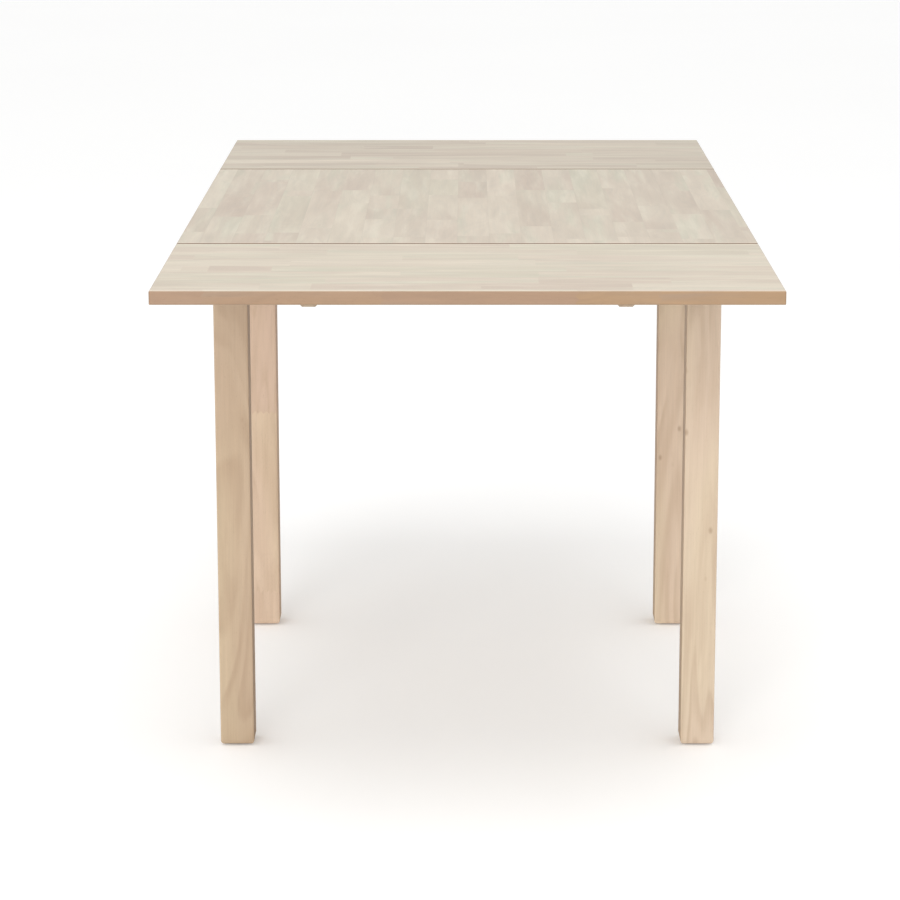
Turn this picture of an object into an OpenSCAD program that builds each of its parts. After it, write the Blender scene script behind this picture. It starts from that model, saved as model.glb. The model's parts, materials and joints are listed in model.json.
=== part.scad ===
// Drop-leaf table with a square-legged centre frame and one folding prop gate under each leaf.
// +X is to the right, +Y to the back, +Z up. The origin is on the floor, midway between the legs.

/* [Top] */
// Width of the table, along X
table_w = 800; // [760:10:900]
// Depth of the fixed centre panel, along Y
centre_d = 750; // [700:10:800]
// Depth of one leaf, along Y
leaf_d = 371; // [360:1:400]
// Gap between the centre panel and a leaf
leaf_gap = 4; // [2:0.5:4.5]
// Thickness of the boards
top_t = 18; // [18:1:22]
// Height of the table
table_h = 740; // [720:5:760]

/* [Frame] */
// Side of a square leg
leg_w = 48; // [44:1:52]
// Distance from a leg to the edge of the centre panel
overhang = 45; // [44:1:50]
// Height of an apron
apron_h = 70; // [66:1:76]
// Thickness of an apron
apron_t = 20; // [18:1:22]
// Distance from a leg's face in to the apron's face
apron_inset = 4; // [3:0.5:5]

/* [Gate] */
// Distance from the middle of the table to a gate arm
arm_x = 204; // [195:1:212]
// Width of a gate arm
arm_w = 22; // [18:1:24]
// Depth of a gate arm
arm_t = 22; // [20:1:22]
// Distance from the hinge line out to the tip of an arm
arm_reach = 280; // [270:1:290]
// How far the tip's underside lies below the leaf
tip_drop = 19; // [18:0.5:21]

/* [Hidden] */
$fn = 48;

wood_top = [0.85, 0.80, 0.74];
wood_frame = [0.79, 0.69, 0.58];
zinc = [0.72, 0.73, 0.75];
nylon = [0.30, 0.28, 0.26];

// Boards and legs
underside = table_h - top_t;
leaf_in = centre_d / 2 + leaf_gap;
board_round = 2;
leg_round = 3;
foot_round = 7;
glide_t = 1.6;
glide_r = 11;
nail_r = 1.2;
nail_l = 14;
leg_out_x = table_w / 2 - overhang;
leg_out_y = centre_d / 2 - overhang;
leg_in_x = leg_out_x - leg_w;
leg_in_y = leg_out_y - leg_w;
corner_cut = 11;
apron_out_x = leg_out_x - apron_inset;
apron_out_y = leg_out_y - apron_inset;
apron_in_x = apron_out_x - apron_t;
apron_in_y = apron_out_y - apron_t;
apron_round = 1.5;
rail_t = 20;
rail_h = 45;
dowel_r = 4;
dowel_l = 24;
dowel_spread = 20;
root2 = sqrt(2);

// Corner braces: a steel web across the corner with a wing on each apron
brace_t = 2;
brace_h = 50;
brace_web = 55;
brace_wing = 26;
brace_z = underside - apron_h / 2;
brace_run = apron_in_x - leg_in_x + brace_web;
brace_x = leg_in_x - brace_web;
brace_y = leg_in_y - brace_web;
brace_screw_z = 15;
hanger_r = 3.96;
hanger_hole_r = 4.3;
nut_hole_r = 4;
hanger_l = 88;
hanger_out = 18;
washer_t = 1.6;
washer_r = 9;
nut_t = 6.5;
nut_r = 7.5;

// Wood screws with a countersunk head
screw_r = 1.75;
screw_head_r = 3.5;
screw_l = 15;
screw_play = 0.05;
cross_w = 0.9;
cross_l = 4.2;
cross_deep = 1.2;

// Top clips: small steel angles on the inner faces of the aprons
clip_w = 22;
clip_leg = 22;
clip_t = 2;
clip_spots = [-150, 150];

// Back-flap hinges, with the axis just below the boards
hinge_y = centre_d / 2 + leaf_gap / 2;
axis_drop = 3.3;
hinge_z = underside - axis_drop;
hinge_w = 60;
plate_t = 1.6;
plate_in = 3.4;
plate_out = 35;
knuckle_r = 3;
knuckle_gap = 0.3;
knuckle_n = 5;
knuckle_l = (hinge_w - (knuckle_n - 1) * knuckle_gap) / knuckle_n;
knuckle_step = knuckle_l + knuckle_gap;
pin_r = 1.5;
fixed_bore_r = 1.52;
flap_bore_r = 1.55;
hinge_x = 290;
hinge_spots = [-hinge_x, 0, hinge_x];
hinge_screw_spots = [[-20, 22], [0, 12], [20, 22]];

// Prop gates: two arms and a bar, on bolts in brackets on the apron
pivot_in = 34;
pivot_drop = 48;
pivot_y = hinge_y - pivot_in;
pivot_z = underside - pivot_drop;
tip_gap = 0.4;
arm_chamfer = 2.5;
tip_z = underside - tip_drop + arm_t / 2;
arm_rise = atan2(tip_z - pivot_z, arm_reach + pivot_in);
arm_l = norm([tip_z - pivot_z, arm_reach + pivot_in]);
bolt_r = 3;
arm_bore_r = 3.06;
ear_bore_r = 3.1;
pivot_washer_t = 1;
pivot_washer_r = 7;
pivot_washer_gap = 0.15;
ear_t = 2.5;
ear_in = arm_w / 2 + pivot_washer_t + 2 * pivot_washer_gap;
ear_out = ear_in + ear_t;
ear_r = 9;
flange_t = 2.5;
flange_w = 54;
flange_h = 38;
flange_screw_x = 20.5;
flange_screw_z = 12;
bolt_head_r = 5.5;
bolt_head_t = 4;
pivot_nut_t = 5;
bolt_past_nut = 2;
pivot_nut_hole_r = 3.04;
bar_at = 205;
bar_w = 20;
tenon_r = 4;
tenon_l = 8;
tenon_gap = 0.5;

// Catches: a steel lip under the leaf that holds the tip of each arm
catch_gap = 0.6;
catch_t = 2;
catch_w = 30;
catch_lip = 5;
catch_foot = 28;
catch_screw_x = 8;
catch_screw_y = 18;
catch_y = hinge_y + arm_reach + catch_gap;

// Draws its children in the corner of the table with the given signs
module corner(sx, sy) {
    mirror([sx < 0 ? 1 : 0, 0, 0])
        mirror([0, sy < 0 ? 1 : 0, 0])
            children();
}

// Draws its children on the front (-1) or the back (+1) side
module side(sy) {
    mirror([0, sy < 0 ? 1 : 0, 0]) children();
}

// A rectangle with round corners, centred
module round_rect(w, h, r) {
    square([w - 2 * r, h], center = true);
    square([w, h - 2 * r], center = true);
    for (x = [-1, 1], y = [-1, 1])
        translate([x * (w / 2 - r), y * (h / 2 - r)]) circle(r);
}

// A block with every edge rounded, centred on X and Y and standing on z = 0
module round_block(w, d, h, r) {
    translate([0, 0, h / 2])
        intersection() {
            linear_extrude(h, center = true) round_rect(w, d, r);
            rotate([90, 0, 0]) linear_extrude(d, center = true) round_rect(w, h, r);
            rotate([90, 0, 90]) linear_extrude(w, center = true) round_rect(d, h, r);
        }
}

// A wood screw that goes up from z = 0, its head flush with z = 0
module screw(l = screw_l) {
    difference() {
        union() {
            cylinder(r1 = screw_head_r, r2 = screw_r, h = screw_head_r - screw_r);
            cylinder(r = screw_r, h = l - screw_r);
            translate([0, 0, l - screw_r]) cylinder(r1 = screw_r, r2 = 0, h = screw_r);
        }
        for (turn = [0, 90])
            rotate(turn)
                translate([-cross_l / 2, -cross_w / 2, -1]) cube([cross_l, cross_w, 1 + cross_deep]);
    }
}

// A countersunk hole for a screw, through a plate that starts at z = 0
module screw_hole() {
    sink = screw_head_r - screw_r;
    translate([0, 0, -screw_play])
        cylinder(r1 = screw_head_r + 2 * screw_play, r2 = screw_r + screw_play, h = sink + 2 * screw_play);
    cylinder(r = screw_r + screw_play, h = 2 * sink);
}

// --- Top ---

module centre_top() {
    color(wood_top)
        translate([0, 0, underside]) round_block(table_w, centre_d, top_t, board_round);
}

module leaf(sy) {
    color(wood_top)
        translate([0, sy * (leaf_in + leaf_d / 2), underside])
            round_block(table_w, leaf_d, top_t, board_round);
}

// --- Legs and aprons ---

module leg(sx, sy) {
    leg_h = underside - glide_t;
    corner(sx, sy)
        color(wood_frame)
            translate([leg_in_x + leg_w / 2, leg_in_y + leg_w / 2, glide_t])
                difference() {
                    intersection() {
                        linear_extrude(leg_h) round_rect(leg_w, leg_w, leg_round);
                        rotate([90, 0, 0])
                            linear_extrude(leg_w + 2, center = true) foot_outline(leg_h);
                        rotate([90, 0, 90])
                            linear_extrude(leg_w + 2, center = true) foot_outline(leg_h);
                    }
                    translate([-leg_w / 2, -leg_w / 2, leg_h - apron_h])
                        rotate(45)
                            translate([-leg_w, -leg_w, 0])
                                cube([leg_w + corner_cut / root2, 2 * leg_w, apron_h + 1]);
                }
}

// The side view of a leg, with the two lower corners rounded
module foot_outline(h) {
    translate([-leg_w / 2, foot_round]) square([leg_w, h - foot_round]);
    translate([foot_round - leg_w / 2, 0]) square([leg_w - 2 * foot_round, h]);
    for (x = [-1, 1])
        translate([x * (leg_w / 2 - foot_round), foot_round]) circle(foot_round);
}

module leg_glides() {
    color(nylon)
        for (sx = [-1, 1], sy = [-1, 1])
            translate([sx * (leg_in_x + leg_w / 2), sy * (leg_in_y + leg_w / 2), 0]) {
                cylinder(r = glide_r, h = glide_t);
                cylinder(r = nail_r, h = glide_t + nail_l);
            }
}

// An apron with its long edges rounded, along X and centred on Y
module apron_board(l, t, h) {
    rotate([90, 0, 90]) linear_extrude(l, center = true) round_rect(t, h, apron_round);
}

module apron_y(sy) {
    color(wood_frame)
        translate([0, sy * (apron_out_y - apron_t / 2), underside - apron_h / 2])
            apron_board(2 * leg_in_x, apron_t, apron_h);
}

module apron_x(sx) {
    color(wood_frame)
        translate([sx * (apron_out_x - apron_t / 2), 0, underside - apron_h / 2])
            rotate(90) apron_board(2 * leg_in_y, apron_t, apron_h);
}

module cross_rail() {
    color(wood_frame)
        translate([0, 0, underside - rail_h / 2]) apron_board(2 * apron_in_x, rail_t, rail_h);
}

module rail_dowels() {
    color(wood_frame)
        for (sx = [-1, 1], z = [-0.5, 0.5])
            translate([sx * apron_in_x, 0, underside - rail_h / 2 + z * dowel_spread])
                rotate([0, 90, 0]) cylinder(r = dowel_r, h = dowel_l, center = true);
}

// --- Corner braces ---

// Puts its children where a corner's bolt meets the brace, with +X along the bolt to the leg
module brace_axis(sx, sy) {
    corner(sx, sy)
        translate([brace_x + brace_run / 2, brace_y + brace_run / 2, brace_z])
            rotate(45) children();
}

// The plan of a brace: a web across the corner, bent at both ends along the aprons
module brace_outline() {
    slant = brace_t * root2;
    wing_end = -slant - brace_wing;
    bend = brace_t - slant;
    far = brace_run - brace_t;
    polygon([
        [wing_end, brace_run],
        [0, brace_run],
        [brace_run, 0],
        [brace_run, wing_end],
        [far, wing_end],
        [far, bend],
        [bend, far],
        [wing_end, far]
    ]);
}

module corner_brace(sx, sy) {
    color(zinc)
        difference() {
            corner(sx, sy)
                translate([brace_x, brace_y, brace_z - brace_h / 2])
                    linear_extrude(brace_h) brace_outline();
            brace_axis(sx, sy)
                rotate([0, 90, 0]) cylinder(r = hanger_hole_r, h = 4 * brace_t, center = true);
            brace_screw_places(sx, sy) screw_hole();
        }
}

// Puts its children at the four screws of a brace, with +Z going into the apron
module brace_screw_places(sx, sy) {
    mid = -brace_t * root2 - brace_wing / 2;
    corner(sx, sy)
        for (z = [-brace_screw_z, brace_screw_z]) {
            translate([brace_x + mid, brace_y + brace_run - brace_t, brace_z + z])
                rotate([-90, 0, 0]) children();
            translate([brace_x + brace_run - brace_t, brace_y + mid, brace_z + z])
                rotate([0, 90, 0]) children();
        }
}

module brace_screws() {
    color(zinc)
        for (sx = [-1, 1], sy = [-1, 1])
            brace_screw_places(sx, sy) screw();
}

module hanger_bolts() {
    color(zinc)
        for (sx = [-1, 1], sy = [-1, 1])
            brace_axis(sx, sy)
                translate([-hanger_out, 0, 0]) rotate([0, 90, 0]) cylinder(r = hanger_r, h = hanger_l);
}

module hanger_washers() {
    color(zinc)
        for (sx = [-1, 1], sy = [-1, 1])
            brace_axis(sx, sy)
                translate([-brace_t - washer_t, 0, 0])
                    rotate([0, 90, 0]) ring(washer_r, hanger_hole_r, washer_t);
}

module hanger_nuts() {
    color(zinc)
        for (sx = [-1, 1], sy = [-1, 1])
            brace_axis(sx, sy)
                translate([-brace_t - washer_t - nut_t, 0, 0])
                    rotate([0, 90, 0]) hex_nut(nut_r, nut_hole_r, nut_t);
}

// A flat ring that stands on z = 0
module ring(outer, inner, h) {
    difference() {
        cylinder(r = outer, h = h);
        translate([0, 0, -1]) cylinder(r = inner, h = h + 2);
    }
}

// A six-sided nut that stands on z = 0
module hex_nut(outer, inner, h) {
    difference() {
        cylinder(r = outer, h = h, $fn = 6);
        translate([0, 0, -1]) cylinder(r = inner, h = h + 2);
    }
}

// --- Top clips ---

// Puts its children at each clip, with +Y to the apron's inner face and z = 0 at the underside
module clip_places() {
    for (sy = [-1, 1], x = clip_spots)
        rotate(sy > 0 ? 0 : 180) translate([x, apron_in_y, underside]) children();
    for (sx = [-1, 1], y = clip_spots)
        rotate(sx > 0 ? -90 : 90) translate([y, apron_in_x, underside]) children();
}

module top_clips() {
    color(zinc)
        clip_places()
            difference() {
                union() {
                    translate([-clip_w / 2, -clip_leg, -clip_t]) cube([clip_w, clip_leg, clip_t]);
                    translate([-clip_w / 2, -clip_t, -clip_leg]) cube([clip_w, clip_t, clip_leg]);
                }
                clip_screw_places() screw_hole();
            }
}

module clip_screw_places() {
    translate([0, -clip_leg / 2 - clip_t / 2, -clip_t]) children();
    translate([0, -clip_t, -clip_leg / 2 - clip_t / 2]) rotate([-90, 0, 0]) children();
}

module top_clip_screws() {
    color(zinc)
        clip_places() clip_screw_places() screw();
}

// --- Hinges ---

// Puts its children on the hinge line, with +Y pointing out under the leaf
module on_hinge(sy, x) {
    side(sy)
        translate([x, hinge_y, hinge_z]) children();
}

// Where a knuckle starts along X
function knuckle_at(i) = -hinge_w / 2 + i * knuckle_step;

// One half of a hinge, reaching towards +Y, with the knuckles of the given numbers
module hinge_half(knuckles, bore_r) {
    difference() {
        union() {
            translate([-hinge_w / 2, plate_in, axis_drop - plate_t])
                cube([hinge_w, plate_out - plate_in, plate_t]);
            for (i = knuckles)
                translate([knuckle_at(i), 0, 0]) {
                    rotate([0, 90, 0]) cylinder(r = knuckle_r, h = knuckle_l);
                    translate([0, 0, axis_drop - plate_t]) cube([knuckle_l, plate_in + 1, plate_t]);
                }
        }
        translate([-hinge_w, 0, 0]) rotate([0, 90, 0]) cylinder(r = bore_r, h = 2 * hinge_w);
        hinge_screw_places() screw_hole();
    }
}

module hinge_screw_places() {
    for (p = hinge_screw_spots)
        translate([p[0], p[1], axis_drop - plate_t]) children();
}

module hinge_plate(sy, x) {
    color(zinc)
        on_hinge(sy, x) mirror([0, 1, 0]) hinge_half([0, 2, 4], fixed_bore_r);
}

module hinge_flap(sy, x) {
    color(zinc)
        on_hinge(sy, x) hinge_half([1, 3], flap_bore_r);
}

module hinge_pins() {
    color(zinc)
        for (sy = [-1, 1], x = hinge_spots)
            on_hinge(sy, x) rotate([0, 90, 0]) cylinder(r = pin_r, h = hinge_w, center = true);
}

module hinge_plate_screws() {
    color(zinc)
        for (sy = [-1, 1], x = hinge_spots)
            on_hinge(sy, x) mirror([0, 1, 0]) hinge_screw_places() screw();
}

module leaf_screws(sy) {
    color(zinc) {
        for (x = hinge_spots)
            on_hinge(sy, x) hinge_screw_places() screw();
        for (sx = [-1, 1])
            catch_screw_places(sx, sy) screw();
    }
}

// --- Prop gates ---

// Puts its children at the pivot of an arm, with +X pointing away from the middle
module at_pivot(sx, sy) {
    corner(sx, sy)
        translate([arm_x, pivot_y, pivot_z]) children();
}

// Turns its children from +Y up along the raised arm
module along_arm() {
    rotate([arm_rise, 0, 0]) children();
}

module gate_arm(sx, sy) {
    color(wood_frame)
        at_pivot(sx, sy)
            difference() {
                along_arm()
                    intersection() {
                        rotate([90, 0, 90])
                            linear_extrude(arm_w, center = true) {
                                circle(arm_t / 2);
                                translate([0, -arm_t / 2]) square([arm_l, arm_t]);
                            }
                        rotate([90, 0, 0])
                            linear_extrude(4 * arm_l, center = true) arm_section();
                    }
                translate([-arm_w, 0, pivot_drop - tip_gap]) cube([2 * arm_w, 2 * arm_l, arm_w]);
                rotate([0, 90, 0]) cylinder(r = arm_bore_r, h = 2 * arm_w, center = true);
                along_arm()
                    translate([-arm_w / 2 - 1, bar_at, 0])
                        rotate([0, 90, 0]) cylinder(r = tenon_r, h = tenon_l + 1);
            }
}

// The cross-section of an arm, with chamfered corners below
module arm_section() {
    half_w = arm_w / 2;
    half_t = arm_t / 2;
    polygon([
        [-half_w, half_t],
        [half_w, half_t],
        [half_w, arm_chamfer - half_t],
        [half_w - arm_chamfer, -half_t],
        [arm_chamfer - half_w, -half_t],
        [-half_w, arm_chamfer - half_t]
    ]);
}

module gate_bar(sy) {
    bar_l = 2 * (arm_x - arm_w / 2);
    color(wood_frame)
        side(sy)
            translate([0, pivot_y, pivot_z])
                along_arm()
                    translate([0, bar_at, 0]) {
                        apron_board(bar_l, bar_w, bar_w);
                        rotate([0, 90, 0])
                            cylinder(r = tenon_r, h = bar_l + 2 * (tenon_l - tenon_gap), center = true);
                    }
}

module gate_bracket(sx, sy) {
    wall = pivot_y - apron_out_y;
    color(zinc)
        at_pivot(sx, sy)
            difference() {
                union() {
                    translate([-flange_w / 2, -wall, -flange_h / 2])
                        cube([flange_w, flange_t, flange_h]);
                    for (x = [-ear_out, ear_in])
                        translate([x, -wall, -ear_r]) cube([ear_t, wall, 2 * ear_r]);
                    for (x = [-ear_out, ear_in])
                        translate([x, 0, 0]) rotate([0, 90, 0]) cylinder(r = ear_r, h = ear_t);
                }
                rotate([0, 90, 0]) cylinder(r = ear_bore_r, h = 2 * ear_out + 2, center = true);
                bracket_screw_places() screw_hole();
            }
}

// Puts its children at the four screws of a bracket, seen from its pivot, with +Z into the apron
module bracket_screw_places() {
    for (x = [-1, 1], z = [-1, 1])
        translate([x * flange_screw_x, apron_out_y - pivot_y + flange_t, z * flange_screw_z])
            rotate([90, 0, 0]) children();
}

module bracket_screws() {
    color(zinc)
        for (sx = [-1, 1], sy = [-1, 1])
            at_pivot(sx, sy) bracket_screw_places() screw();
}

module pivot_bolts() {
    color(zinc)
        for (sx = [-1, 1], sy = [-1, 1])
            at_pivot(sx, sy) {
                translate([-ear_out - pivot_nut_t - bolt_past_nut, 0, 0])
                    rotate([0, 90, 0])
                        cylinder(r = bolt_r, h = 2 * ear_out + pivot_nut_t + bolt_past_nut);
                translate([ear_out, 0, 0])
                    rotate([0, 90, 0]) cylinder(r = bolt_head_r, h = bolt_head_t, $fn = 6);
            }
}

module pivot_washers() {
    color(nylon)
        for (sx = [-1, 1], sy = [-1, 1], x = [-1, 1])
            at_pivot(sx, sy)
                translate([x * (arm_w / 2 + pivot_washer_gap + pivot_washer_t / 2), 0, 0])
                    rotate([0, 90, 0])
                        translate([0, 0, -pivot_washer_t / 2])
                            ring(pivot_washer_r, ear_bore_r, pivot_washer_t);
}

module pivot_nuts() {
    color(zinc)
        for (sx = [-1, 1], sy = [-1, 1])
            at_pivot(sx, sy)
                translate([-ear_out - pivot_nut_t, 0, 0])
                    rotate([0, 90, 0]) hex_nut(bolt_head_r, pivot_nut_hole_r, pivot_nut_t);
}

// --- Catches ---

// Puts its children at a catch, with z = 0 at the underside of the leaf
module at_catch(sx, sy) {
    corner(sx, sy)
        translate([arm_x, catch_y, underside]) children();
}

module catch_screw_places(sx, sy) {
    at_catch(sx, sy)
        for (x = [-1, 1])
            translate([x * catch_screw_x, catch_screw_y, -catch_t]) children();
}

module catch_plate(sx, sy) {
    color(zinc)
        difference() {
            at_catch(sx, sy) {
                translate([-catch_w / 2, 0, -catch_t]) cube([catch_w, catch_foot, catch_t]);
                translate([-catch_w / 2, 0, -catch_lip]) cube([catch_w, catch_t, catch_lip]);
            }
            catch_screw_places(sx, sy) screw_hole();
        }
}

centre_top();
leaf(-1);  // front_leaf
leaf(1);  // back_leaf
leg(-1, -1);  // leg_front_left
leg(1, -1);  // leg_front_right
leg(-1, 1);  // leg_back_left
leg(1, 1);  // leg_back_right
apron_y(-1);  // apron_front
apron_y(1);  // apron_back
apron_x(-1);  // apron_left
apron_x(1);  // apron_right
cross_rail();
rail_dowels();
corner_brace(-1, -1);  // corner_brace_front_left
corner_brace(1, -1);  // corner_brace_front_right
corner_brace(-1, 1);  // corner_brace_back_left
corner_brace(1, 1);  // corner_brace_back_right
brace_screws();
hanger_bolts();
hanger_washers();
hanger_nuts();
top_clips();
top_clip_screws();
leg_glides();
hinge_plate(-1, -hinge_x);  // front_hinge_plate_left
hinge_plate(-1, 0);  // front_hinge_plate_middle
hinge_plate(-1, hinge_x);  // front_hinge_plate_right
hinge_plate(1, -hinge_x);  // back_hinge_plate_left
hinge_plate(1, 0);  // back_hinge_plate_middle
hinge_plate(1, hinge_x);  // back_hinge_plate_right
hinge_flap(-1, -hinge_x);  // front_hinge_flap_left
hinge_flap(-1, 0);  // front_hinge_flap_middle
hinge_flap(-1, hinge_x);  // front_hinge_flap_right
hinge_flap(1, -hinge_x);  // back_hinge_flap_left
hinge_flap(1, 0);  // back_hinge_flap_middle
hinge_flap(1, hinge_x);  // back_hinge_flap_right
hinge_pins();
hinge_plate_screws();
leaf_screws(-1);  // front_leaf_screws
leaf_screws(1);  // back_leaf_screws
gate_bracket(-1, -1);  // gate_bracket_front_left
gate_bracket(1, -1);  // gate_bracket_front_right
gate_bracket(-1, 1);  // gate_bracket_back_left
gate_bracket(1, 1);  // gate_bracket_back_right
bracket_screws();
pivot_bolts();
pivot_washers();
pivot_nuts();
gate_arm(-1, -1);  // front_gate_arm_left
gate_arm(1, -1);  // front_gate_arm_right
gate_bar(-1);  // front_gate_bar
gate_arm(-1, 1);  // back_gate_arm_left
gate_arm(1, 1);  // back_gate_arm_right
gate_bar(1);  // back_gate_bar
catch_plate(-1, -1);  // front_catch_left
catch_plate(1, -1);  // front_catch_right
catch_plate(-1, 1);  // back_catch_left
catch_plate(1, 1);  // back_catch_right
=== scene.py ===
import json
import math

import bpy
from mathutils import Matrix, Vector


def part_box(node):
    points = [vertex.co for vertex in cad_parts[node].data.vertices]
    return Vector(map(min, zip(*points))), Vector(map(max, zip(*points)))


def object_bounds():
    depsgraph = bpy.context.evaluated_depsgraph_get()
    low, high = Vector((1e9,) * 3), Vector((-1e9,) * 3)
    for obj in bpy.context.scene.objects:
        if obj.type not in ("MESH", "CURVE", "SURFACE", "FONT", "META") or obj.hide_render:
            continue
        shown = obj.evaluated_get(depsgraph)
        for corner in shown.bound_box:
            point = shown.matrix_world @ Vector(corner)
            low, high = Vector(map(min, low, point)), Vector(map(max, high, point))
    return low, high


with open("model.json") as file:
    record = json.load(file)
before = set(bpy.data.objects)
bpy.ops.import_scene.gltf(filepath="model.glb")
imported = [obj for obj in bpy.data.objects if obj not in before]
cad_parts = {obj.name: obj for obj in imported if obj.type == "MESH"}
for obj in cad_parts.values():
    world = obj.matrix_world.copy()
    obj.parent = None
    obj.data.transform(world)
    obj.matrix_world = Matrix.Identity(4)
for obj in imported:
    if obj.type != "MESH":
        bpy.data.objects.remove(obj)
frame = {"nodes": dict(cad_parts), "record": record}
cad_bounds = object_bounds()
nodes = frame["nodes"]
scene = bpy.context.scene

# --- Colours and sizes of the finishes ---------------------------------------------------------

# Colours are linear RGB and lengths are metres.

# Whitewashed staves: each length of stave draws a number, and this ramp gives its colour
STAVE_TONES = [
    (0.00, (0.622, 0.548, 0.444)),
    (0.25, (0.585, 0.506, 0.412)),
    (0.45, (0.632, 0.550, 0.448)),
    (0.62, (0.594, 0.536, 0.428)),
    (0.80, (0.646, 0.574, 0.468)),
    (1.00, (0.594, 0.510, 0.414)),
]
# Drifts of colour within a length of stave, then the bare wood of the edges and the underside
STAVE_CREAM = (0.680, 0.622, 0.512)
STAVE_PINK = (0.580, 0.470, 0.385)
STAVE_GREEN = (0.525, 0.505, 0.400)
STAVE_EDGE = (0.334, 0.213, 0.136)
STAVE_EDGE_WARM = (0.362, 0.230, 0.128)
STAVE_EDGE_GREY = (0.312, 0.217, 0.148)
STAVE_UNDER = (0.560, 0.430, 0.310)

# Painted shade darkens the facing edges of a joint, and a painted highlight makes the front and back
# rims of a board paler
JOINT_PAINTED_SHADE = 0.60
JOINT_REACH = (0.004, 0.006)
RIM_HIGHLIGHT_WIDTH = 0.013

# Sizes of one stave, of one length of it, and of the fingers that join two lengths
STAVE_WIDTH = 0.0445
STAVE_LENGTH = 0.34
FINGER_PITCH = 0.0045
FINGER_DEPTH = 0.005

# Legs, aprons, rail and gates, and the painted shade that darkens the left and right faces of the legs
FRAME_TONE = (0.590, 0.474, 0.340)
FRAME_DARK = (0.430, 0.310, 0.215)
FRAME_PINK = (0.560, 0.416, 0.332)
LEG_SIDE_PAINTED_SHADE = (0.71, 0.62, 0.53)
KNOT = (0.26, 0.16, 0.095)
GOLDEN = 0.618
LOG_LENGTH = 0.30

ZINC = (0.60, 0.61, 0.63)
ZINC_PALE = (0.70, 0.70, 0.69)
ZINC_DARK = (0.42, 0.42, 0.44)
NYLON = (0.060, 0.055, 0.050)
NYLON_PALE = (0.085, 0.078, 0.07)
FLOOR = (0.93, 0.93, 0.925)
FLOOR_PALE = (0.95, 0.95, 0.945)
FLOOR_GLOW = 0.12

# How far each pattern lightens or darkens a whitewashed board, as a share of its colour
BOARD_LATE_WOOD = -0.050
BOARD_STREAK = 0.16
BOARD_FLAME = 0.20
BOARD_BROAD = 0.12
BOARD_PATCH = -0.17
BOARD_SEAM = -0.05
BOARD_END = -0.08
# A painted highlight along the front and back rims of a board
BOARD_RIM_HIGHLIGHT = 0.08
# Painted shade on faces that look down
BOARD_UNDER_PAINTED_SHADE = -0.12
PORE = -0.10

# The same for the frame's wood
FRAME_STREAK = 0.22
FRAME_END = -0.14
# A painted highlight on the rounded edges
FRAME_ARRIS_HIGHLIGHT = 0.12

# How strongly late wood, darker drifts, blush and knots colour the frame's wood
LATE_WOOD_MIX = 0.50
DRIFT_MIX = 0.34
BLUSH_MIX = 0.45
KNOT_MIX = 0.5

# How far apart in the noise the staves, the joined lengths and the frame's pieces are cut
STAVE_WANDER = (3.1, 2.3, 5.7)
LOG_WANDER = (0.11, 0.07, 0.05)
PIECE_WANDER = (1.37, 2.11, 3.3)

# Depth of each surface's relief
BOARD_RELIEF = 0.00016
FRAME_RELIEF = 0.00020
ZINC_RELIEF = 0.00005
NYLON_RELIEF = 0.00006


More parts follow.
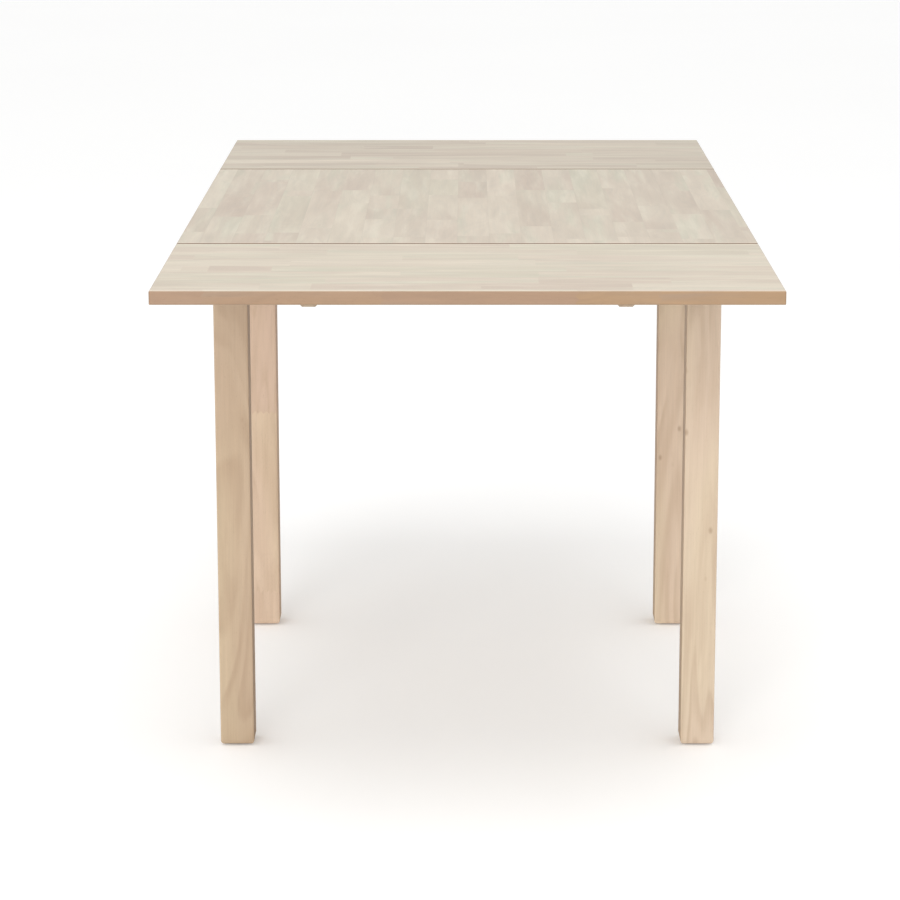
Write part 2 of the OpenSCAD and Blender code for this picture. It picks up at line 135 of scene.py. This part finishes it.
class Graph:
    """Short calls for building one material's node tree."""

    def __init__(self, name):
        self.material = bpy.data.materials.new(name)
        self.material.use_nodes = True
        self.tree = self.material.node_tree
        self.shader = self.tree.nodes["Principled BSDF"]

    def node(self, kind, inputs=None, **settings):
        made = self.tree.nodes.new(kind)
        for key, value in settings.items():
            setattr(made, key, value)
        for key, value in (inputs or {}).items():
            self.feed(made.inputs[key], value)
        return made

    def feed(self, socket, value):
        if isinstance(value, bpy.types.NodeSocket):
            self.tree.links.new(value, socket)
        else:
            socket.default_value = value

    def math(self, operation, a, b=0.0, c=0.0):
        return self.node("ShaderNodeMath", {0: a, 1: b, 2: c}, operation=operation).outputs[0]

    def add(self, base, value, amount):
        """base plus amount times value."""
        return self.math("MULTIPLY_ADD", value, amount, base)

    def sway(self, base, noise, amount):
        """base plus amount times how far a noise stands from its middle."""
        return self.add(base, self.math("SUBTRACT", noise, 0.5), amount)

    def stretch(self, across, through, along, share):
        """A place shrunk along the grain to share, so that noise there runs with the grain."""
        return self.combine(across, through, self.math("MULTIPLY", along, share))

    def vector(self, operation, a, b):
        return self.node("ShaderNodeVectorMath", {0: a, 1: b}, operation=operation).outputs[0]

    def combine(self, x, y, z):
        return self.node("ShaderNodeCombineXYZ", {0: x, 1: y, 2: z}).outputs[0]

    def split(self, vector):
        return self.node("ShaderNodeSeparateXYZ", {0: vector}).outputs

    def noise(self, vector, scale, detail=3.0, roughness=0.55, distortion=0.0):
        made = self.node("ShaderNodeTexNoise", {
            "Vector": vector, "Scale": scale, "Detail": detail,
            "Roughness": roughness, "Distortion": distortion})
        return made.outputs["Fac"]

    def steps(self, value, low, high, out_low=0.0, out_high=1.0):
        return self.node("ShaderNodeMapRange", {
            "Value": value, "From Min": low, "From Max": high, "To Min": out_low, "To Max": out_high},
            interpolation_type="SMOOTHSTEP").outputs[0]

    def ramp(self, value, stops):
        made = self.node("ShaderNodeValToRGB", {0: value})
        made.color_ramp.interpolation = "EASE"
        elements = made.color_ramp.elements
        while len(elements) < len(stops):
            elements.new(0.5)
        for element, (place, colour) in zip(elements, stops):
            element.position = place
            element.color = (*colour, 1.0)
        return made.outputs[0]

    def mix(self, amount, a, b, blend="MIX"):
        made = self.node("ShaderNodeMix", data_type="RGBA", blend_type=blend)
        colours = [s for s in made.inputs if s.type == "RGBA"]
        self.feed(made.inputs[0], amount)
        for socket, value in zip(colours, (a, b)):
            self.feed(socket, value if isinstance(value, bpy.types.NodeSocket) else (*value, 1.0))
        return [s for s in made.outputs if s.type == "RGBA"][0]

    def shade(self, value):
        """A grey of that value, to multiply a colour by."""
        return self.combine(value, value, value)

    def bump(self, height, distance, strength=1.0, under=None):
        inputs = {"Height": height, "Distance": distance, "Strength": strength}
        if under is not None:
            inputs["Normal"] = under
        return self.node("ShaderNodeBump", inputs).outputs[0]


def along_grain(graph, grain):
    """Object coordinates as (across, through, along) for wood whose grain runs along that axis."""
    x, y, z = graph.split(graph.node("ShaderNodeTexCoord").outputs["Object"])
    return {"X": (y, z, x), "Y": (x, z, y), "Z": (x, y, z)}[grain]


def face_masks(graph, grain):
    """Masks from the object's own normals: end grain, rounded edges, and how far the face looks up."""
    normal = graph.node("ShaderNodeTexCoord").outputs["Normal"]
    parts = [graph.math("ABSOLUTE", p) for p in graph.split(normal)]
    end = graph.steps(parts["XYZ".index(grain)], 0.55, 0.85)
    flat = graph.math("MAXIMUM", graph.math("MAXIMUM", parts[0], parts[1]), parts[2])
    arris = graph.steps(flat, 0.80, 0.985, 1.0, 0.0)
    up = graph.split(normal)[2]
    return end, arris, up


def figure(graph, across, through, along, wander, bands):
    """Cathedral figure of flat-sawn wood: 0 in early wood to 1 in late wood."""
    place = graph.vector("ADD", graph.stretch(across, through, along, 0.17), wander)
    field = graph.noise(place, 10.0, 2.0, 0.45, 0.8)
    phase = graph.math("FRACT", graph.math("MULTIPLY", field, bands))
    rise = graph.steps(phase, 0.15, 0.74)
    fall = graph.steps(phase, 0.76, 1.0, 1.0, 0.0)
    faint = graph.steps(graph.noise(place, 33.0, 1.0), 0.34, 0.66, 0.15, 1.0)
    return graph.math("MULTIPLY", graph.math("MULTIPLY", rise, fall), faint)


def fibres(graph, across, through, along, wander):
    """Fine streaks and short pores along the grain."""
    streak_place = graph.vector("ADD", graph.stretch(across, through, along, 0.022), wander)
    streak = graph.noise(streak_place, 520.0, 4.0, 0.62)
    pore_place = graph.vector("ADD", graph.stretch(across, through, along, 0.10), wander)
    pore = graph.noise(pore_place, 1500.0, 1.0)
    return streak, graph.steps(pore, 0.66, 0.76)


def near_edge(graph, node, reach):
    """1 along the front and back edges of a board, fading to 0 at that distance in."""
    front, back = (corner.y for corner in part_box(node))
    y = graph.split(graph.node("ShaderNodeTexCoord").outputs["Object"])[1]
    inside = graph.math("MINIMUM", graph.math("SUBTRACT", y, front), graph.math("SUBTRACT", back, y))
    return graph.steps(inside, 0.3 * reach, reach, 1.0, 0.0)


def joint_wall(graph, up):
    """1 on the facing edges of a joint between the centre and a leaf, rounded edges included."""
    joint_y = (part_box("centre_top")[1].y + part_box("back_leaf")[0].y) / 2
    y = graph.split(graph.node("ShaderNodeTexCoord").outputs["Object"])[1]
    away = graph.math("ABSOLUTE", graph.math("SUBTRACT", graph.math("ABSOLUTE", y), joint_y))
    turned = graph.steps(graph.math("ABSOLUTE", up), 0.90, 0.992, 1.0, 0.0)
    return graph.math("MULTIPLY", turned, graph.steps(away, *JOINT_REACH, 1.0, 0.0))


def stave_board(name, node, grain, seed, light, variety):
    """Whitewashed board of edge-glued, finger-jointed staves, with bare wood on its edges.

    light scales the whole board, as its own tone and as painted shade that makes the boards darker
    towards the back, and variety scales the difference between its lengths of stave.
    """
    graph = Graph(name)
    across, through, along = along_grain(graph, grain)
    end, _, up = face_masks(graph, grain)

    # Which stave, and which length of it
    lane = graph.add(seed * 7.31, across, 1.0 / STAVE_WIDTH)
    stave = graph.math("FLOOR", lane)
    zigzag = graph.math("PINGPONG", through, FINGER_PITCH)
    run = graph.add(along, zigzag, FINGER_DEPTH / FINGER_PITCH)
    run = graph.add(seed * 3.7, run, 1.0 / STAVE_LENGTH)
    cell_place = graph.combine(graph.math("MULTIPLY", stave, 61.7), run, seed * 1.9)
    cell_inputs = {"Vector": cell_place, "Scale": 1.0, "Randomness": 0.8}
    cell = graph.node("ShaderNodeTexVoronoi", cell_inputs, voronoi_dimensions="2D")
    pick = cell.outputs["Color"]
    tone = graph.split(pick)[0]
    seam_place = graph.math("ABSOLUTE", graph.math("SUBTRACT", graph.math("FRACT", lane), 0.5))
    seam = graph.steps(seam_place, 0.488, 0.499)

    # Each length was cut from its own log, so its figure stops at the glue line
    wander = graph.vector("MULTIPLY", pick, STAVE_WANDER)
    late = figure(graph, across, through, along, wander, bands=19.0)
    streak, pore = fibres(graph, across, through, along, wander)
    slow = graph.vector("ADD", graph.stretch(across, through, along, 0.11), wander)
    flame = graph.noise(slow, 60.0, 3.0, 0.55, 0.2)
    broad = graph.noise(slow, 30.0, 3.0, 0.6, 0.3)
    patch = graph.noise(slow, 13.0, 2.0, 0.5, 0.2)

    colour = graph.ramp(tone, STAVE_TONES)
    colour = graph.mix(graph.steps(broad, 0.48, 0.70, 0.0, 0.70), colour, STAVE_GREEN)
    colour = graph.mix(graph.steps(patch, 0.42, 0.72, 0.0, 0.55), colour, STAVE_PINK)
    colour = graph.mix(graph.steps(flame, 0.46, 0.76, 0.0, 0.40), colour, STAVE_CREAM)
    raw = graph.mix(graph.steps(patch, 0.40, 0.62), STAVE_EDGE, STAVE_EDGE_WARM)
    raw = graph.mix(graph.steps(broad, 0.45, 0.70, 0.0, 0.8), raw, STAVE_EDGE_GREY)
    under = graph.mix(0.5, colour, STAVE_UNDER)
    wall = joint_wall(graph, up)
    edge = graph.steps(graph.math("ABSOLUTE", up), 0.66, 0.94, 1.0, 0.0)
    side = graph.math("MAXIMUM", edge, wall)
    colour = graph.mix(graph.steps(up, -0.7, -0.3, 1.0, 0.0), colour, under)
    colour = graph.mix(side, colour, raw)

    top_face = graph.math("SUBTRACT", 1.0, side)
    top_seam = graph.math("MULTIPLY", seam, top_face)
    top_rim_highlight = graph.math("MULTIPLY", near_edge(graph, node, RIM_HIGHLIGHT_WIDTH), top_face)
    shade = graph.add(light, late, BOARD_LATE_WOOD)
    shade = graph.sway(shade, streak, BOARD_STREAK)
    shade = graph.sway(shade, flame, BOARD_FLAME)
    shade = graph.sway(shade, broad, BOARD_BROAD * variety)
    shade = graph.sway(shade, patch, BOARD_PATCH * variety)
    shade = graph.add(shade, pore, PORE)
    shade = graph.add(shade, top_seam, BOARD_SEAM)
    shade = graph.add(shade, end, BOARD_END)
    # Painted highlight along the front and back rims of the top face
    shade = graph.add(shade, top_rim_highlight, BOARD_RIM_HIGHLIGHT)
    # Painted shade on the faces that look down
    shade = graph.add(shade, graph.steps(up, -0.55, -0.15, 1.0, 0.0), BOARD_UNDER_PAINTED_SHADE)
    # Painted shade: the facing edges of each joint, bare wood there, are darkened
    shade = graph.math("MULTIPLY", shade, graph.steps(wall, 0.0, 1.0, 1.0, JOINT_PAINTED_SHADE))
    colour = graph.mix(1.0, colour, graph.shade(shade), "MULTIPLY")
    graph.feed(graph.shader.inputs["Base Color"], colour)

    rough = graph.add(0.46, streak, 0.16)
    rough = graph.add(rough, late, -0.05)
    graph.feed(graph.shader.inputs["Roughness"], rough)
    height = graph.add(streak, late, 0.35)
    height = graph.add(height, pore, -0.8)
    height = graph.add(height, seam, -0.6)
    graph.feed(graph.shader.inputs["Normal"], graph.bump(height, BOARD_RELIEF, 0.8))
    graph.shader.inputs["Specular IOR Level"].default_value = 0.38
    graph.shader.inputs["Coat Weight"].default_value = 0.06
    graph.shader.inputs["Coat Roughness"].default_value = 0.35
    return graph.material


def solid_wood(name, grain, seed, warmth, light, logs, painted_side_shade=0.0):
    """Pale sawn wood, finger-jointed from a few lengths, with soft figure and a few pin knots.

    warmth takes green and blue away, and light scales the colour; on the legs light is partly the
    wood's own tone and partly painted light and shade. logs is how much its joined lengths differ, and
    cheek how far painted shade darkens the faces that look left and right.
    """
    graph = Graph(name)
    across, through, along = along_grain(graph, grain)
    end, arris, _ = face_masks(graph, grain)
    tint = (light, light * (1.0 - 0.05 * warmth), light * (1.0 - 0.12 * warmth))
    bases = (FRAME_TONE, FRAME_DARK, FRAME_PINK)
    pale, dark, pink = (tuple(c * t for c, t in zip(base, tint)) for base in bases)

    # Which length of wood: they meet in finger joints
    zigzag = graph.math("PINGPONG", across, FINGER_PITCH)
    run = graph.add(along, zigzag, FINGER_DEPTH / FINGER_PITCH)
    run = graph.add(seed * 0.6, run, 1.0 / LOG_LENGTH)
    log = graph.math("FRACT", graph.math("MULTIPLY", graph.math("FLOOR", run), GOLDEN))
    log = graph.math("MULTIPLY", log, logs)
    wander = graph.vector("MULTIPLY", graph.shade(log), LOG_WANDER)
    wander = graph.vector("ADD", wander, tuple(seed * step for step in PIECE_WANDER))

    late = figure(graph, across, through, along, wander, bands=11.0)
    streak, pore = fibres(graph, across, through, along, wander)
    slow = graph.vector("ADD", graph.stretch(across, through, along, 0.20), wander)
    tone = graph.noise(slow, 24.0, 3.0, 0.55, 0.8)
    blush = graph.noise(slow, 9.0, 2.0, 0.5, 0.5)
    colour = graph.mix(log, pale, pink)
    colour = graph.mix(graph.steps(blush, 0.44, 0.66, 0.0, BLUSH_MIX), colour, pink)
    colour = graph.mix(graph.steps(tone, 0.38, 0.72, 0.0, DRIFT_MIX), colour, dark)
    colour = graph.mix(graph.math("MULTIPLY", late, LATE_WOOD_MIX), colour, dark)

    # A few pin knots: only some of the cells hold one
    knot_place = graph.vector("ADD", graph.stretch(across, through, along, 0.6), wander)
    knot = graph.node("ShaderNodeTexVoronoi", {"Vector": knot_place, "Scale": 34.0, "Randomness": 1.0})
    chosen = graph.steps(graph.split(knot.outputs["Color"])[0], 0.62, 0.66)
    heart = graph.math("MULTIPLY", graph.steps(knot.outputs["Distance"], 0.02, 0.15, 1.0, 0.0), chosen)
    colour = graph.mix(graph.math("MULTIPLY", heart, KNOT_MIX), colour, KNOT)

    shade = graph.sway(1.0, streak, FRAME_STREAK)
    shade = graph.add(shade, pore, PORE)
    shade = graph.add(shade, end, FRAME_END)
    # Painted highlight on the rounded edges
    shade = graph.add(shade, arris, FRAME_ARRIS_HIGHLIGHT)
    colour = graph.mix(1.0, colour, graph.shade(shade), "MULTIPLY")
    # Painted shade on the faces that look left and right
    normal = graph.node("ShaderNodeTexCoord").outputs["Normal"]
    sideways = graph.math("ABSOLUTE", graph.split(normal)[0])
    colour = graph.mix(graph.steps(sideways, 0.80, 0.97, 0.0, painted_side_shade), colour, LEG_SIDE_PAINTED_SHADE, "MULTIPLY")
    graph.feed(graph.shader.inputs["Base Color"], colour)
    graph.feed(graph.shader.inputs["Roughness"], graph.add(0.50, streak, 0.18))
    height = graph.add(streak, late, 0.4)
    height = graph.add(height, pore, -0.8)
    graph.feed(graph.shader.inputs["Normal"], graph.bump(height, FRAME_RELIEF, 0.8))
    graph.shader.inputs["Specular IOR Level"].default_value = 0.35
    return graph.material


def zinc_steel():
    """Zinc-plated steel: cloudy, speckled and faintly scratched."""
    graph = Graph("zinc_steel")
    place = graph.node("ShaderNodeTexCoord").outputs["Object"]
    cloud = graph.noise(place, 90.0, 4.0, 0.6)
    speckle = graph.noise(place, 900.0, 2.0)
    scratch = graph.noise(graph.vector("MULTIPLY", place, (1.0, 0.04, 1.0)), 1400.0, 2.0)
    colour = graph.mix(graph.steps(cloud, 0.3, 0.7), ZINC, ZINC_PALE)
    colour = graph.mix(graph.steps(speckle, 0.55, 0.8, 0.0, 0.25), colour, ZINC_DARK)
    graph.feed(graph.shader.inputs["Base Color"], colour)
    graph.shader.inputs["Metallic"].default_value = 1.0
    graph.feed(graph.shader.inputs["Roughness"], graph.add(0.24, cloud, 0.25))
    height = graph.add(speckle, scratch, 0.7)
    graph.feed(graph.shader.inputs["Normal"], graph.bump(height, ZINC_RELIEF, 0.7))
    return graph.material


def dark_nylon():
    """Moulded dark nylon with a fine leathery grain."""
    graph = Graph("dark_nylon")
    place = graph.node("ShaderNodeTexCoord").outputs["Object"]
    grain = graph.noise(place, 1300.0, 2.0)
    cloud = graph.noise(place, 60.0, 3.0)
    colour = graph.mix(graph.steps(cloud, 0.3, 0.7), NYLON, NYLON_PALE)
    graph.feed(graph.shader.inputs["Base Color"], colour)
    graph.feed(graph.shader.inputs["Roughness"], graph.add(0.42, grain, 0.25))
    graph.feed(graph.shader.inputs["Normal"], graph.bump(grain, NYLON_RELIEF, 0.8))
    return graph.material


def floor_paint():
    """Pale studio floor that gives off a little light."""
    graph = Graph("floor_paint")
    place = graph.node("ShaderNodeTexCoord").outputs["Object"]
    cloud = graph.noise(place, 0.8, 2.0)
    graph.feed(graph.shader.inputs["Base Color"], graph.mix(cloud, FLOOR, FLOOR_PALE))
    graph.shader.inputs["Roughness"].default_value = 0.85
    graph.shader.inputs["Specular IOR Level"].default_value = 0.1
    graph.shader.inputs["Emission Color"].default_value = (1.0, 1.0, 1.0, 1.0)
    graph.shader.inputs["Emission Strength"].default_value = FLOOR_GLOW
    return graph.material


def paint(name, material):
    """Gives a carried-over part its one material."""
    piece = nodes[name]
    piece.data.materials.clear()
    piece.data.materials.append(material)


# --- Materials on the parts --------------------------------------------------------------------

# board: material, grain axis, seed, light, variety; light also holds painted shade, darker towards the
# back
BOARDS = {
    "centre_top": ("centre_staves", "Y", 1, 0.868, 1.0),
    "front_leaf": ("front_leaf_staves", "X", 2, 0.91, 0.5),
    "back_leaf": ("back_leaf_staves", "X", 3, 0.84, 1.6),
}
for part, (material_name, *finish) in BOARDS.items():
    paint(part, stave_board(material_name, part, *finish))

# part: grain axis, seed, warmth, light, logs, and on the legs the share of painted side shade; on the
# legs light is partly the wood's own tone and partly painted light and shade
WOODEN = {
    "leg_front_left": ("Z", 1, 0.9, 0.785, 0.0, 1.0),
    "leg_front_right": ("Z", 2, -0.2, 0.96, 0.0, 1.0),
    "leg_back_left": ("Z", 3, 0.4, 1.065, 0.9, 1.0),
    "leg_back_right": ("Z", 4, 0.0, 1.05, 0.0, 1.0),
    "apron_front": ("X", 5, 0.6, 1.00, 0.5),
    "apron_back": ("X", 6, 0.4, 1.02, 0.5),
    "apron_left": ("Y", 7, 0.5, 0.98, 0.5),
    "apron_right": ("Y", 8, 0.3, 1.03, 0.5),
    "cross_rail": ("X", 9, 0.7, 0.97, 0.5),
    "rail_dowels": ("X", 10, 0.2, 1.05, 0.0),
    "front_gate_arm_left": ("Y", 11, 0.4, 0.92, 0.2),
    "front_gate_arm_right": ("Y", 12, 0.6, 0.90, 0.2),
    "front_gate_bar": ("X", 13, 0.3, 1.02, 0.3),
    "back_gate_arm_left": ("Y", 14, 0.5, 0.92, 0.2),
    "back_gate_arm_right": ("Y", 15, 0.2, 0.94, 0.2),
    "back_gate_bar": ("X", 16, 0.6, 1.00, 0.3),
}
for part, finish in WOODEN.items():
    paint(part, solid_wood(part + "_wood", *finish))

SLOT_FINISHES = {"zinc_steel": zinc_steel(), "nylon": dark_nylon()}
for row in frame["record"]["subparts"]:
    if row["material_slot"] in SLOT_FINISHES:
        paint(row["node"], SLOT_FINISHES[row["material_slot"]])

# --- Floor, light and camera -------------------------------------------------------------------

FLOOR_HALF = 60.0
FLOOR_GAP = 0.0002
low, high = cad_bounds
centre = (low + high) / 2

mesh = bpy.data.meshes.new("studio_floor")
signs = ((-1, -1), (1, -1), (1, 1), (-1, 1))
corners = [(x * FLOOR_HALF, y * FLOOR_HALF, low.z - FLOOR_GAP) for x, y in signs]
mesh.from_pydata(corners, [], [(0, 1, 2, 3)])
floor = bpy.data.objects.new("studio_floor", mesh)
floor.data.materials.append(floor_paint())
scene.collection.objects.link(floor)


def softbox(name, place, aim, size, power):
    """A square white area light that points at aim."""
    lamp = bpy.data.lights.new(name, "AREA")
    lamp.shape = "SQUARE"
    lamp.size = size
    lamp.energy = power
    made = bpy.data.objects.new(name, lamp)
    made.location = place
    made.rotation_euler = (Vector(aim) - Vector(place)).to_track_quat("-Z", "Y").to_euler()
    made.visible_camera = False
    scene.collection.objects.link(made)


# The low front softbox reaches the legs under the leaf, which the overhead one leaves in shade
softbox("overhead", place=(0.0, -0.9, 3.6), aim=(0, 0, high.z), size=3.0, power=48)
softbox("front_fill", place=(-0.9, -5.2, 0.6), aim=(0, 0, 0.4), size=2.2, power=52)

KEY_STRENGTH = 0.95
KEY_SOFTNESS = 34.0
KEY_DIRECTION = (0.16, 0.92, -0.36)
key = bpy.data.lights.new("key", "SUN")
key.energy = KEY_STRENGTH
key.angle = math.radians(KEY_SOFTNESS)
key_lamp = bpy.data.objects.new("key", key)
key_lamp.rotation_euler = Vector(KEY_DIRECTION).to_track_quat("-Z", "Y").to_euler()
scene.collection.objects.link(key_lamp)

SKY_STRENGTH = 0.80
world = bpy.data.worlds.new("studio")
world.use_nodes = True
sky = world.node_tree.nodes["Background"]
sky.inputs["Color"].default_value = (1.0, 1.0, 1.0, 1.0)
sky.inputs["Strength"].default_value = SKY_STRENGTH
scene.world = world
scene.view_settings.view_transform = "Standard"

# The camera stands in front of the near leaf and looks down at the table
CAMERA_BACK = 3.722
CAMERA_LEFT = 0.002
CAMERA_HEIGHT = 1.402
CAMERA_TILT = 12.25
CAMERA_LENS = 120.6
CAMERA_SENSOR = 36.0
CAMERA_SHIFT = (-0.0176, -0.05)
camera_data = bpy.data.cameras.new("camera")
camera_data.sensor_width = CAMERA_SENSOR
camera_data.lens = CAMERA_LENS
camera_data.shift_x, camera_data.shift_y = CAMERA_SHIFT
camera = bpy.data.objects.new("camera", camera_data)
camera.location = (centre.x - CAMERA_LEFT, low.y - CAMERA_BACK, low.z + CAMERA_HEIGHT)
camera.rotation_euler = (math.radians(90.0 - CAMERA_TILT), 0.0, 0.0)
scene.collection.objects.link(camera)
scene.camera = camera
